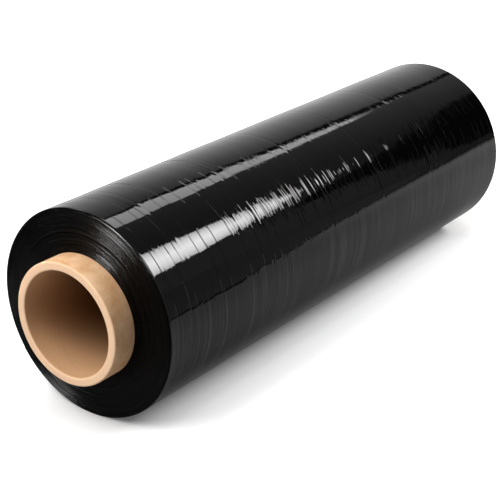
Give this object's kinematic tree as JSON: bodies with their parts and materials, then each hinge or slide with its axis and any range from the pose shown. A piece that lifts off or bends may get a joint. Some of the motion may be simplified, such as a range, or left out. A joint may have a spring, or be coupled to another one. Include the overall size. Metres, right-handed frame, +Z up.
{
  "type": "stretch wrap roll",
  "caption": "Roll of glossy black stretch film wound on a kraft paperboard core that stands out at both ends, lying on its side.",
  "frame": {"origin": "on the floor under the middle of the roll, at the bottom centre of its box", "axes": "+X along the roll's axis, +Z up from the floor"},
  "size_m": [0.495, 0.1517, 0.1514],
  "materials": {
    "black_film": "glossy black stretch film, wound tight, with faint bands round the roll",
    "kraft_board": "unbleached kraft paperboard, matt, spiral wound"
  },
  "bodies": {
    "root": {"film_roll": "black_film", "core_tube": "kraft_board"}
  },
  "joints": []
}
